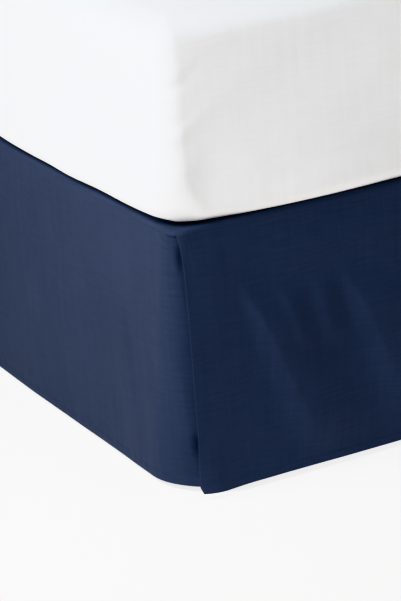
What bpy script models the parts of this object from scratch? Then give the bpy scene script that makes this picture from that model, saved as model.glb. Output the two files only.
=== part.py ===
"""A plain queen-size bed wearing a tailored bed skirt with split, overlapped foot corners.

The bed stands on the floor at z = 0. X runs across it, Y along it, and the foot end looks to -Y.
The skirt is four cloths: a deck gripped between the box spring and the mattress, one panel down each
long side and one across the foot. The foot panel ends in a free edge at each corner, and the side
panel wraps round behind it like part of a cone, tight at the rim and wide at the hem.

Along a side panel, "reach" is the distance still to go to the bed's square corner, measured in the
cloth: it is negative where the cloth has turned the corner and lies behind the foot panel. Along
the foot panel, "along" is the distance from the left end. "Depth" is measured down from the deck.
"""

import math

import bmesh
import bpy
import numpy as np

# ---------------------------------------------------------------- driving dimensions, in metres
MATTRESS_WIDTH = 1.524
MATTRESS_LENGTH = 2.032
MATTRESS_HEIGHT = 0.280
MATTRESS_CORNER_RADIUS = 0.055
MATTRESS_EDGE_RADIUS = 0.020

BASE_WIDTH = 1.511
BASE_LENGTH = 2.019
BASE_HEIGHT = 0.127
BASE_CORNER_RADIUS = 0.040
BASE_EDGE_RADIUS = 0.012

SKIRT_DROP = 0.381
HEM_ABOVE_FLOOR = 0.010
CLOTH_THICKNESS = 0.0015
CLOTH_TO_BASE = 0.0025
OVERLAP_GAP = 0.0015
PIECE_GAP = 0.0003
SEAM_GAP = 0.0008

RIM_ROLL_RADIUS = 0.005
RIM_CORNER_RADIUS = 0.012
RIM_DROOP = 0.004
RIM_DROOP_WIDTH = 0.042
RIM_DROOP_DEPTH = 0.050
DECK_HEAD_SETBACK = 0.012

WRAP_RADIUS_AT_RIM = 0.012
WRAP_WIDTH_AT_HEM = 0.107
WRAP_LENGTH_AT_HEM = 0.102
UNDERLAP_END = -0.120

HEM_CURL = 0.0095
CURL_WIDTH = 0.034
CURL_START_DEPTH = 0.300
EDGE_LEAN_WIDTH = 0.250

RAIL_HEIGHT = 0.040
RAIL_WIDTH = 0.030
RAIL_LENGTH = 1.940
RAIL_OFFSET = 0.700
CROSS_RAIL_HEIGHT = 0.030
CROSS_RAIL_WIDTH = 0.030
CROSS_RAIL_LENGTH = 1.450
CROSS_RAIL_OFFSET = 0.900
LEG_RADIUS = 0.016
GLIDE_RADIUS = 0.024
GLIDE_HEIGHT = 0.010
GLIDE_BEVEL = 0.003
LEG_SIDES = 16
SLAB_SHARP_ANGLE = math.radians(40)
LEG_SHARP_ANGLE = math.radians(30)

# ---------------------------------------------------------------- dimensions that follow
DECK_TOP = HEM_ABOVE_FLOOR + SKIRT_DROP
BASE_TOP = DECK_TOP - CLOTH_THICKNESS - PIECE_GAP
BASE_BOTTOM = BASE_TOP - BASE_HEIGHT
RAIL_TOP = BASE_BOTTOM - PIECE_GAP
CROSS_RAIL_TOP = RAIL_TOP - RAIL_HEIGHT - PIECE_GAP
LEG_TOP = CROSS_RAIL_TOP - CROSS_RAIL_HEIGHT - PIECE_GAP
HALF_WIDTH = BASE_WIDTH / 2 + CLOTH_TO_BASE + CLOTH_THICKNESS
UNDERLAP_SETBACK = CLOTH_THICKNESS + OVERLAP_GAP
HALF_LENGTH = BASE_LENGTH / 2 + CLOTH_TO_BASE + CLOTH_THICKNESS + UNDERLAP_SETBACK
SKIRT_WIDTH = 2 * HALF_WIDTH
SKIRT_LENGTH = 2 * HALF_LENGTH
PANEL_TOP_DEPTH = RIM_ROLL_RADIUS + SEAM_GAP

# ---------------------------------------------------------------- where the cloth grids have lines
# Each row is a stretch: from, to, number of equal steps.
DEPTH_STRETCHES = (
    (PANEL_TOP_DEPTH, 0.060, 3),
    (0.060, 0.340, 8),
    (0.340, SKIRT_DROP, 2),
)
REACH_STRETCHES = (
    (SKIRT_LENGTH, 0.640, 6),
    (0.640, 0.190, 9),
    (0.190, 0.120, 4),
    (0.120, 0.030, 9),
    (0.030, -0.010, 8),
    (-0.010, -0.070, 6),
    (-0.070, UNDERLAP_END, 3),
)
ALONG_STRETCHES = (
    (0.0, 0.050, 6),
    (0.050, 0.400, 26),
    (0.400, SKIRT_WIDTH - 0.350, 16),
    (SKIRT_WIDTH - 0.350, SKIRT_WIDTH - 0.050, 8),
    (SKIRT_WIDTH - 0.050, SKIRT_WIDTH, 5),
)

# How far the foot panel's free edge stands in from the square corner.
# Columns: depth, lean.
EDGE_LEAN = (
    (0.000, 0.0080),
    (0.020, 0.0125),
    (0.070, 0.0155),
    (0.145, 0.0182),
    (0.235, 0.0195),
    (0.325, 0.0210),
    (0.370, 0.0240),
    (SKIRT_DROP, 0.0290),
)

# Soft folds. A fold's crest runs from (at_top, depth_top) to (at_foot, depth_foot). Its steep flank
# lies on the side of smaller "at" and widens from steep_top to steep_foot; the other flank is gentle.
# Columns: at_top, depth_top, at_foot, depth_foot, steep_top, steep_foot, gentle, rise.
FOOT_FOLDS = (
    (0.100, 0.090, 0.212, 0.330, 0.010, 0.026, 0.070, 0.0034),
    (0.270, 0.105, 0.362, 0.325, 0.010, 0.028, 0.080, 0.0036),
    (0.164, 0.110, 0.194, 0.190, 0.008, 0.012, 0.022, 0.0010),
    (0.220, 0.115, 0.242, 0.190, 0.008, 0.012, 0.022, 0.0012),
    (0.640, 0.080, 0.740, 0.330, 0.060, 0.090, 0.160, 0.0035),
    (1.060, 0.080, 0.990, 0.320, 0.070, 0.100, 0.150, 0.0035),
    (1.330, 0.090, 1.290, 0.330, 0.050, 0.070, 0.090, 0.0030),
)
SIDE_FOLDS = (
    (0.172, 0.160, 0.166, 0.240, 0.008, 0.010, 0.014, 0.0012),
    (0.160, 0.240, 0.140, 0.370, 0.008, 0.014, 0.018, 0.0022),
    (0.100, 0.240, 0.078, 0.381, 0.010, 0.016, 0.020, 0.0024),
    (0.034, 0.170, 0.012, 0.350, 0.010, 0.016, 0.022, 0.0020),
    (0.430, 0.120, 0.470, 0.381, 0.060, 0.080, 0.100, 0.0015),
)

# ---------------------------------------------------------------- colours, linear RGB
NAVY = (0.0135, 0.0205, 0.0490)
SHEET_WHITE = (0.860, 0.865, 0.870)
TICKING_GREY = (0.560, 0.570, 0.590)
FRAME_BLACK = (0.030, 0.030, 0.032)


def clear_scene():
    """Remove every object that is in the file."""
    for old in list(bpy.data.objects):
        bpy.data.objects.remove(old, do_unlink=True)


def material(name, colour, roughness, metallic=0.0):
    """Make a Principled material."""
    made = bpy.data.materials.new(name)
    made.use_nodes = True
    shader = made.node_tree.nodes["Principled BSDF"]
    shader.inputs["Base Color"].default_value = (*colour, 1.0)
    shader.inputs["Roughness"].default_value = roughness
    shader.inputs["Metallic"].default_value = metallic
    made.diffuse_color = (*colour, 1.0)
    return made


def cloth_material(name):
    """Navy woven cotton."""
    return material(name, NAVY, 0.85)


def add_object(name, mesh, finish):
    """Put a mesh into the scene under one name, with one material."""
    mesh.name = name
    mesh.materials.append(finish)
    made = bpy.data.objects.new(name, mesh)
    bpy.context.scene.collection.objects.link(made)
    return made


def stations(stretches):
    """Turn a table of stretches into the list of grid lines."""
    lines = [np.array([stretches[0][0]])]
    for start, end, steps in stretches:
        lines.append(np.linspace(start, end, steps + 1)[1:])
    return np.concatenate(lines)


def smooth(value):
    """Ease from 0 to 1 as the value goes from 0 to 1, and stay level outside."""
    level = np.clip(value, 0.0, 1.0)
    return level * level * (3.0 - 2.0 * level)


def fold_relief(at, depth, folds):
    """Height of all the folds above the plain cloth, at every point of a grid."""
    relief = np.zeros_like(at)
    for at_top, depth_top, at_foot, depth_foot, steep_top, steep_foot, gentle, rise in folds:
        down = (depth - depth_top) / (depth_foot - depth_top)
        crest = at_top + (at_foot - at_top) * down
        steep = steep_top + (steep_foot - steep_top) * np.clip(down, 0.0, 1.2)
        off_crest = at - crest
        flank = np.where(off_crest < 0.0, steep, gentle)
        swell = smooth(down / 0.35) * (1.0 - smooth((down - 0.85) / 0.35))
        relief += rise * swell * np.exp(-((off_crest / flank) ** 2))
    return relief


def rim_droop(points):
    """How far the rim hangs down at the foot corners, where the box spring's corner is rounder."""
    off_x = HALF_WIDTH - np.abs(points[..., 0])
    off_y = HALF_LENGTH + points[..., 1]
    return RIM_DROOP * (1.0 - smooth(np.hypot(off_x, off_y) / RIM_DROOP_WIDTH))


def hang(points, depth):
    """Set the height of panel points that lie at a depth below the deck, the droop fading out."""
    fading = 1.0 - smooth((depth - PANEL_TOP_DEPTH) / RIM_DROOP_DEPTH)
    points[..., 2] = DECK_TOP - depth - rim_droop(points) * fading


# ---------------------------------------------------------------- cloth pieces
def cloth_object(name, points, extra_faces=()):
    """Make a closed cloth from a grid of outer-face points, rows by columns by xyz.

    Rows run down the cloth and columns along it, so that the faces look outward. The Solidify
    modifier gives the cloth its thickness on the inner side.
    """
    rows, columns, _ = points.shape
    index = np.arange(rows * columns).reshape(rows, columns)
    corners = (index[:-1, :-1], index[1:, :-1], index[1:, 1:], index[:-1, 1:])
    faces = np.stack(corners, axis=-1).reshape(-1, 4).tolist()
    mesh = bpy.data.meshes.new(name)
    mesh.from_pydata(points.reshape(-1, 3).tolist(), [], faces + list(extra_faces))
    mesh.validate()
    mesh.shade_smooth()
    made = add_object(name, mesh, cloth_material(name + " cloth"))
    thick = made.modifiers.new("cloth thickness", "SOLIDIFY")
    thick.thickness = CLOTH_THICKNESS
    thick.offset = -1.0
    thick.use_even_offset = True


def rim_route(steps_corner=6):
    """Plan of the deck's rim: each point's place and its outward direction.

    It runs from the head down the left side, round the foot and back up the right side.
    """
    head = MATTRESS_LENGTH / 2 - DECK_HEAD_SETBACK
    droop_start = -HALF_LENGTH + RIM_DROOP_WIDTH
    corner_start = -HALF_LENGTH + RIM_CORNER_RADIUS
    corner_end = -HALF_WIDTH + RIM_CORNER_RADIUS
    droop_end = -HALF_WIDTH + RIM_DROOP_WIDTH
    turns = np.linspace(math.pi, 1.5 * math.pi, steps_corner + 1)
    corner_out = np.stack((np.cos(turns), np.sin(turns)), axis=-1)
    corner = np.array((corner_end, corner_start)) + RIM_CORNER_RADIUS * corner_out
    side_lines = stations(((head, droop_start, 6), (droop_start, corner_start, 6)))
    foot_lines = stations(((corner_end, droop_end, 6), (droop_end, 0.0, 4)))
    side = [(-HALF_WIDTH, y) for y in side_lines[:-1]]
    foot = [(x, -HALF_LENGTH) for x in foot_lines[1:-1]]
    left = np.concatenate((side, corner, foot))
    left_out = np.concatenate(([(-1.0, 0.0)] * len(side), corner_out, [(0.0, -1.0)] * len(foot)))
    mirror = np.array((-1.0, 1.0))
    route = np.concatenate((left, [(0.0, -HALF_LENGTH)], left[::-1] * mirror))
    outward = np.concatenate((left_out, [(0.0, -1.0)], left_out[::-1] * mirror))
    return route, outward


def add_deck(steps_roll=4):
    """The flat cloth on the box spring, rolled down over the rim on three sides to the seam."""
    route, outward = rim_route()
    angles = np.linspace(0.0, math.pi / 2, steps_roll + 1)[:, None]
    inset = RIM_ROLL_RADIUS * (1.0 - np.sin(angles))
    fall = RIM_ROLL_RADIUS * (1.0 - np.cos(angles))
    points = np.empty((len(angles), len(route), 3))
    points[:, :, :2] = route[None] - inset[:, :, None] * outward[None]
    points[:, :, 2] = DECK_TOP - fall - rim_droop(points) * np.sin(angles)
    flat_top = list(range(len(route)))
    cloth_object("deck", points, [flat_top])


def add_foot_panel():
    """The panel across the foot end, with a free edge at each corner."""
    along, depth = np.meshgrid(stations(ALONG_STRETCHES), stations(DEPTH_STRETCHES))
    from_left, from_right = along, SKIRT_WIDTH - along
    lean_table = np.array(EDGE_LEAN)
    lean = np.interp(depth, lean_table[:, 0], lean_table[:, 1])
    lean_left = lean * (1.0 - smooth(from_left / EDGE_LEAN_WIDTH))
    lean_right = lean * (1.0 - smooth(from_right / EDGE_LEAN_WIDTH))
    curl = HEM_CURL * smooth((depth - CURL_START_DEPTH) / (SKIRT_DROP - CURL_START_DEPTH))
    nearness = np.maximum(1.0 - np.minimum(from_left, from_right) / CURL_WIDTH, 0.0)
    points = np.empty((*along.shape, 3))
    points[:, :, 0] = -HALF_WIDTH + along + lean_left - lean_right
    points[:, :, 1] = -HALF_LENGTH + curl * nearness**2 - fold_relief(along, depth, FOOT_FOLDS)
    hang(points, depth)
    cloth_object("foot_panel", points)


def wrap_section(depth, reach, samples=48):
    """One level section of the left side panel round the corner: places and outward directions.

    The section runs straight along the side, turns a quarter of an ellipse and runs on behind the
    foot panel. The ellipse grows evenly from the rim to the hem, which makes the turn a cone.
    Places are measured across and along the bed from its square corner.
    """
    share = depth / SKIRT_DROP
    across = WRAP_RADIUS_AT_RIM + (WRAP_WIDTH_AT_HEM - WRAP_RADIUS_AT_RIM) * share
    length = WRAP_RADIUS_AT_RIM + (WRAP_LENGTH_AT_HEM - WRAP_RADIUS_AT_RIM) * share
    turn = np.linspace(0.0, math.pi / 2, samples)
    cosine, sine = np.cos(turn), np.sin(turn)
    arc = np.stack((across * (1.0 - cosine), UNDERLAP_SETBACK + length * (1.0 - sine)), axis=-1)
    arc_outward = np.stack((-length * cosine, -across * sine), axis=-1)
    arc_outward /= np.linalg.norm(arc_outward, axis=1, keepdims=True)
    place = np.concatenate(([(0.0, SKIRT_LENGTH)], arc, [(SKIRT_LENGTH, UNDERLAP_SETBACK)]))
    outward = np.concatenate(([(-1.0, 0.0)], arc_outward, [(0.0, -1.0)]))
    steps = np.linalg.norm(np.diff(place, axis=0), axis=1)
    travelled = np.concatenate(([0.0], np.cumsum(steps)))
    wanted = SKIRT_LENGTH - reach
    at_place = np.stack([np.interp(wanted, travelled, place[:, k]) for k in (0, 1)], axis=-1)
    at_outward = np.stack([np.interp(wanted, travelled, outward[:, k]) for k in (0, 1)], axis=-1)
    return at_place, at_outward


def side_panel_points():
    """Outer face of the left side panel, head hem first, then round the foot corner."""
    reach = stations(REACH_STRETCHES)
    depths = stations(DEPTH_STRETCHES)
    square_corner = np.array((-HALF_WIDTH, -HALF_LENGTH))
    points = np.empty((len(depths), len(reach), 3))
    for row, depth in zip(points, depths):
        place, outward = wrap_section(depth, reach)
        relief = fold_relief(reach, np.full_like(reach, depth), SIDE_FOLDS)
        row[:, :2] = square_corner + place + relief[:, None] * outward
        hang(row, depth)
    return points


def add_side_panels():
    """The two long side panels, which mirror each other."""
    points = side_panel_points()
    mirrored = points[:, ::-1] * np.array((-1.0, 1.0, 1.0))
    cloth_object("side_panel_left", points)
    cloth_object("side_panel_right", mirrored)


# ---------------------------------------------------------------- mattress and box spring
def rounded_rectangle(half_x, half_y, radius, steps=5):
    """Points of a rectangle with round corners, going round anticlockwise."""
    points = []
    for quarter, (side_x, side_y) in enumerate(((1, 1), (-1, 1), (-1, -1), (1, -1))):
        centre = np.array((side_x * (half_x - radius), side_y * (half_y - radius)))
        for turn in np.linspace(quarter * math.pi / 2, (quarter + 1) * math.pi / 2, steps + 1):
            points.append(centre + radius * np.array((math.cos(turn), math.sin(turn))))
    return np.array(points)


def lofted_mesh(name, outlines, levels, sharp_angle):
    """A closed block whose level outlines, listed from the bottom up, are joined ring to ring."""
    shape = bmesh.new()
    rings = []
    for outline, level in zip(outlines, levels):
        rings.append([shape.verts.new((x, y, level)) for x, y in outline])
    for lower, upper in zip(rings[:-1], rings[1:]):
        for k, corner in enumerate(lower):
            following = (k + 1) % len(lower)
            shape.faces.new((corner, lower[following], upper[following], upper[k]))
    shape.faces.new(list(reversed(rings[0])))
    shape.faces.new(rings[-1])
    mesh = bpy.data.meshes.new(name)
    shape.to_mesh(mesh)
    shape.free()
    mesh.shade_smooth()
    mesh.set_sharp_from_angle(angle=sharp_angle)
    return mesh


def slab_mesh(name, size, bottom, corner_radius, edge_radius, steps=4):
    """A block with round upright corners and rolled top and bottom edges."""
    angles = np.linspace(0.0, math.pi / 2, steps + 1)
    inset = edge_radius * (1.0 - np.sin(angles))
    rise = edge_radius * (1.0 - np.cos(angles))
    width, length, height = size
    outlines = []
    for drawn_in in np.concatenate((inset, inset[::-1])):
        half_x, half_y = width / 2 - drawn_in, length / 2 - drawn_in
        outlines.append(rounded_rectangle(half_x, half_y, corner_radius - drawn_in))
    levels = np.concatenate((bottom + rise, bottom + height - rise[::-1]))
    return lofted_mesh(name, outlines, levels, SLAB_SHARP_ANGLE)


def add_mattress():
    """The mattress on the deck, in its white sheet."""
    size = (MATTRESS_WIDTH, MATTRESS_LENGTH, MATTRESS_HEIGHT)
    bottom = DECK_TOP + PIECE_GAP
    mesh = slab_mesh("mattress", size, bottom, MATTRESS_CORNER_RADIUS, MATTRESS_EDGE_RADIUS)
    add_object("mattress", mesh, material("white sheet", SHEET_WHITE, 0.80))


def add_box_spring():
    """The low box spring under the deck."""
    size = (BASE_WIDTH, BASE_LENGTH, BASE_HEIGHT)
    mesh = slab_mesh("box_spring", size, BASE_BOTTOM, BASE_CORNER_RADIUS, BASE_EDGE_RADIUS, 3)
    add_object("box_spring", mesh, material("box spring ticking", TICKING_GREY, 0.85))


# ---------------------------------------------------------------- steel frame
def steel_material(name):
    """Black powder-coated steel."""
    return material(name, FRAME_BLACK, 0.45, 0.6)


def add_bar(name, centre, size):
    """A straight steel bar."""
    shape = bmesh.new()
    bmesh.ops.create_cube(shape, size=1.0)
    bmesh.ops.scale(shape, vec=size, verts=shape.verts)
    mesh = bpy.data.meshes.new(name)
    shape.to_mesh(mesh)
    shape.free()
    made = add_object(name, mesh, steel_material(name + " steel"))
    made.location = centre


def add_rails():
    """Three rails along the bed and three across, under them."""
    rail_z = RAIL_TOP - RAIL_HEIGHT / 2
    for name, side in (("rail_left", -1), ("rail_centre", 0), ("rail_right", 1)):
        add_bar(name, (side * RAIL_OFFSET, 0.0, rail_z), (RAIL_WIDTH, RAIL_LENGTH, RAIL_HEIGHT))
    cross_z = CROSS_RAIL_TOP - CROSS_RAIL_HEIGHT / 2
    for name, side in (("cross_rail_foot", -1), ("cross_rail_middle", 0), ("cross_rail_head", 1)):
        centre = (0.0, side * CROSS_RAIL_OFFSET, cross_z)
        add_bar(name, centre, (CROSS_RAIL_LENGTH, CROSS_RAIL_WIDTH, CROSS_RAIL_HEIGHT))


def leg_mesh(name):
    """A round leg that widens into a flat glide at the floor."""
    profile = (
        (GLIDE_RADIUS - GLIDE_BEVEL, 0.0),
        (GLIDE_RADIUS, GLIDE_BEVEL),
        (GLIDE_RADIUS, GLIDE_HEIGHT),
        (LEG_RADIUS, GLIDE_HEIGHT + GLIDE_BEVEL),
        (LEG_RADIUS, LEG_TOP),
    )
    turns = np.linspace(0.0, 2 * math.pi, LEG_SIDES, endpoint=False)
    circle = np.stack((np.cos(turns), np.sin(turns)), axis=-1)
    outlines = [radius * circle for radius, _ in profile]
    levels = [level for _, level in profile]
    return lofted_mesh(name, outlines, levels, LEG_SHARP_ANGLE)


def add_legs():
    """Nine legs, one under each crossing of the rails."""
    rows = (-CROSS_RAIL_OFFSET, 0.0, CROSS_RAIL_OFFSET)
    crossings = [(x, y) for y in rows for x in (-RAIL_OFFSET, 0.0, RAIL_OFFSET)]
    for number, (x, y) in enumerate(crossings, start=1):
        name = f"leg_{number}"
        made = add_object(name, leg_mesh(name), steel_material(name + " steel"))
        made.location = (x, y, 0.0)


def main():
    """Build the bed from the skirt outward and downward."""
    clear_scene()
    add_deck()
    add_foot_panel()
    add_side_panels()
    add_mattress()
    add_box_spring()
    add_rails()
    add_legs()


if __name__ == "__main__":
    main()
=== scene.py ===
"""The looks of a queen-size bed that wears a plain navy bed skirt.

The bed stands on the floor at z = 0. X runs across it, Y along it, and the foot end looks to -Y.
Every size is in metres. The skirt's panels are surfaces over two lengths measured in the cloth: one
along the panel, and the depth, down from the deck on which the mattress lies. A side panel's length
is its reach, the distance still to go to the bed's square corner. It is negative where the cloth has
turned the corner and lies behind the foot panel.
"""

import logging
import math
from dataclasses import dataclass
from enum import Enum
from typing import Callable, Iterable, NamedTuple, Protocol, Sequence

import bpy
import numpy as np
from mathutils import Matrix, Vector


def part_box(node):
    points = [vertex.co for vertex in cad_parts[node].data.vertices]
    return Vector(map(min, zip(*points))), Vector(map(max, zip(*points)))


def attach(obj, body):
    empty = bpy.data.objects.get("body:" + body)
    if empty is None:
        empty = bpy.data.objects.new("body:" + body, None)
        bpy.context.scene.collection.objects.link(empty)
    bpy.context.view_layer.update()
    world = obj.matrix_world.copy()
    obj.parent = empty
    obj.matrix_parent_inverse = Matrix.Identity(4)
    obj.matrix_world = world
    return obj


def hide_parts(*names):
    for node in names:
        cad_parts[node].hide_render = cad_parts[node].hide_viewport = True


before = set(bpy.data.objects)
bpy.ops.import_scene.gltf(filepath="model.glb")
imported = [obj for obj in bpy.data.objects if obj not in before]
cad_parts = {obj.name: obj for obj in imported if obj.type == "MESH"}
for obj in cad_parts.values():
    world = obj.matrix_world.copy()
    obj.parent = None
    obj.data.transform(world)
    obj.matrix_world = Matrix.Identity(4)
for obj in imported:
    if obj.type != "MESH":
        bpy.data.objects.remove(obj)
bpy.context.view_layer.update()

logging.basicConfig(level=logging.INFO, format="%(message)s")
log = logging.getLogger("bed")

UV_NAME = "cloth"
ROOT = "root"
QUARTER_TURN = math.pi / 2
FULL_TURN = 2 * math.pi

Array = np.ndarray
Piece = bpy.types.Object
Material = bpy.types.Material
Socket = bpy.types.NodeSocket
Rows = Sequence[tuple[float, float, int]]
Triple = tuple[float, float, float]
Part = tuple[Array, list]


class Side(Enum):
    """Which of the two mirrored sides of the bed a panel hangs on."""

    LEFT = "left"
    RIGHT = "right"


# ================================================================ small shapes of curves
def ease(level: Array) -> Array:
    """Rise from 0 to 1 as level does, level at both ends: 3 l^2 - 2 l^3, held outside."""
    held = np.clip(level, 0.0, 1.0)
    return held * held * (3.0 - 2.0 * held)


def bell(offset: Array, width: float) -> Array:
    """A bump of height 1 at offset 0 that falls to 37 % at width: e to the -(offset / width)^2."""
    return np.exp(-((offset / width) ** 2))


def stations(rows: Rows) -> Array:
    """Turn stretches that follow on, (from, to, number of equal steps), into grid lines."""
    lines = [np.array([rows[0][0]])]
    return np.concatenate(lines + [np.linspace(start, end, n + 1)[1:] for start, end, n in rows])


def travelled(line: Array) -> Array:
    """Distance along a line of points, from its first point to each."""
    return np.concatenate(([0.0], np.cumsum(np.linalg.norm(np.diff(line, axis=0), axis=1))))


class Form(Protocol):
    """Anything that lifts a surface."""

    def lift(self, at: Array, depth: Array) -> Array:
        """How far it lifts the surface at each place."""


class Wave(NamedTuple):
    """A long, low sine wave across a surface."""

    length_along: float
    length_down: float
    phase: float
    height: float

    def lift(self, at: Array, depth: Array) -> Array:
        """The height times the sine of the turns travelled in both directions."""
        turns = at / self.length_along + depth / self.length_down
        return self.height * np.sin(FULL_TURN * turns + self.phase)


class Fold(NamedTuple):
    """A soft fold whose crest runs from (at_top, depth_top) to (at_foot, depth_foot).

    Its steep flank lies on the side of smaller "at" and widens from steep_top to steep_foot. The
    other flank is gentle. The fold stands out by rise.
    """

    at_top: float
    depth_top: float
    at_foot: float
    depth_foot: float
    steep_top: float
    steep_foot: float
    gentle: float
    rise: float

    GROWN = 0.35
    FULL = 0.85
    GONE = 1.2

    def lift(self, at: Array, depth: Array) -> Array:
        """How far the fold lifts the cloth.

        The height is a bell across the crest, its width that of the flank on which the place lies,
        times a swell that is grown at 35 % of the crest, full up to 85 % and gone at 120 %.

        Args:
            at: Places along the cloth.
            depth: Depths of those places.

        Returns:
            The lift at each place.
        """
        down = (depth - self.depth_top) / (self.depth_foot - self.depth_top)
        crest = self.at_top + (self.at_foot - self.at_top) * down
        steep = self.steep_top + (self.steep_foot - self.steep_top) * np.clip(down, 0.0, self.GONE)
        flank = np.where(at < crest, steep, self.gentle)
        fading = (down - self.FULL) / (self.GONE - self.FULL)
        swell = ease(down / self.GROWN) * (1.0 - ease(fading))
        return self.rise * swell * bell(at - crest, flank)


class Dent(NamedTuple):
    """A small soft hollow, or a lump where its sink is negative."""

    at: float
    depth: float
    half_length: float
    half_height: float
    sink: float

    def lift(self, at: Array, depth: Array) -> Array:
        """Minus the sink times a bell in both directions."""
        across = bell(at - self.at, self.half_length)
        return -self.sink * across * bell(depth - self.depth, self.half_height)


def relief(at: Array, depth: Array, forms: Sequence[Form]) -> Array:
    """Sum of the lifts of waves, folds and dents at each place."""
    return sum(form.lift(at, depth) for form in forms)


# ================================================================ meshes
def grid_faces(rows: int, columns: int, closed: bool = False, looped: bool = False) -> Array:
    """Four-cornered faces between the points of a grid.

    Args:
        rows: Number of rows of points.
        columns: Number of points in a row.
        closed: Whether the last column joins the first one.
        looped: Whether the last row joins the first one.

    Returns:
        Four point numbers for each face, which looks outward where rows run down and columns to
        the right as seen from outside.
    """
    index = np.arange(rows * columns).reshape(rows, columns)
    index = np.pad(index, ((0, int(looped)), (0, int(closed))), mode="wrap")
    corners = (index[:-1, :-1], index[1:, :-1], index[1:, 1:], index[:-1, 1:])
    return np.stack(corners, axis=-1).reshape(-1, 4)


def capped_faces(rows: int, columns: int) -> list:
    """Faces of a closed wall of rings, with a cap on its first ring and one on its last."""
    caps = [list(range(columns)), list(range((rows - 1) * columns, rows * columns))[::-1]]
    return grid_faces(rows, columns, closed=True).tolist() + caps


def grid_normals(points: Array, closed: bool = False) -> Array:
    """Unit normals of a grid: the cross product of its downward and rightward slopes.

    Args:
        points: Rows by columns by xyz.
        closed: Whether the last column joins the first one.

    Returns:
        A normal for each point.
    """
    right = np.gradient(points, axis=1)
    if closed:
        wrapped = np.concatenate((points[:, -1:], points, points[:, :1]), axis=1)
        right = (wrapped[:, 2:] - wrapped[:, :-2]) / 2
    normal = np.cross(np.gradient(points, axis=0), right)
    return normal / np.maximum(np.linalg.norm(normal, axis=-1, keepdims=True), 1e-12)


def joined(parts: Iterable[Part]) -> Part:
    """Several meshes as one: their points in one list, and faces renumbered to match.

    Args:
        parts: Points by xyz and lists of faces of each mesh.

    Returns:
        The same of the whole.
    """
    points, faces, count = [], [], 0
    for own_points, own_faces in parts:
        faces += [[corner + count for corner in face] for face in own_faces]
        points.append(own_points)
        count += len(own_points)
    return np.concatenate(points), faces


def linked(name: str, data: bpy.types.ID) -> Piece:
    """Make an object of some data and link it to the scene.

    Args:
        name: The object's name.
        data: A mesh, a lamp or a camera.

    Returns:
        The object.
    """
    made = bpy.data.objects.new(name, data)
    bpy.context.scene.collection.objects.link(made)
    return made


def turned(azimuth: float, elevation: float, roll: float = 0.0) -> Matrix:
    """The turn of something that looks along its -Z axis, away from a point in the sky.

    Args:
        azimuth: Where that point lies, from +X towards +Y, in degrees.
        elevation: How high it lies above the floor, in degrees.
        roll: How far the thing is rolled about its own Z axis, in degrees.

    Returns:
        The product of the turns about Z, X and its own Z.
    """
    angles = ((azimuth + 90.0, "Z"), (90.0 - elevation, "X"), (roll, "Z"))
    first, second, third = (Matrix.Rotation(math.radians(angle), 4, axis) for angle, axis in angles)
    return first @ second @ third


def new_object(name: str, points: Array, faces: list, uv: Array) -> Piece:
    """Make a smooth-shaded object at the origin and link it to the scene.

    Args:
        name: The object's name.
        points: Points by xyz.
        faces: Lists of point numbers.
        uv: A pair of cloth coordinates for each point.

    Returns:
        The object.
    """
    mesh = bpy.data.meshes.new(name)
    mesh.from_pydata(points.reshape(-1, 3).tolist(), [], faces)
    layer = mesh.uv_layers.new(name=UV_NAME)
    corner = np.empty(len(mesh.loops), np.int32)
    mesh.loops.foreach_get("vertex_index", corner)
    layer.data.foreach_set("uv", uv.reshape(-1, 2)[corner].astype(np.float32).ravel())
    mesh.validate()
    mesh.shade_smooth()
    return linked(name, mesh)


def dress(piece: Piece, material: Material, slot: str, *nodes: str) -> Piece:
    """Give a piece its material and its body, and hide the CAD nodes that it replaces.

    Args:
        piece: The object.
        material: The finish.
        slot: Not used.
        nodes: CAD nodes that the piece replaces.

    Returns:
        The same object.
    """
    piece.data.materials.append(material)
    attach(piece, ROOT)
    if nodes:
        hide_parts(*nodes)
    return piece


def thicken(piece: Piece, thickness: float) -> None:
    """Give a cloth its thickness on the inner side.

    Args:
        piece: The cloth.
        thickness: Its thickness.
    """
    wall = piece.modifiers.new("cloth thickness", "SOLIDIFY")
    wall.thickness = thickness
    wall.offset = -1.0
    wall.use_even_offset = True


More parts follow.
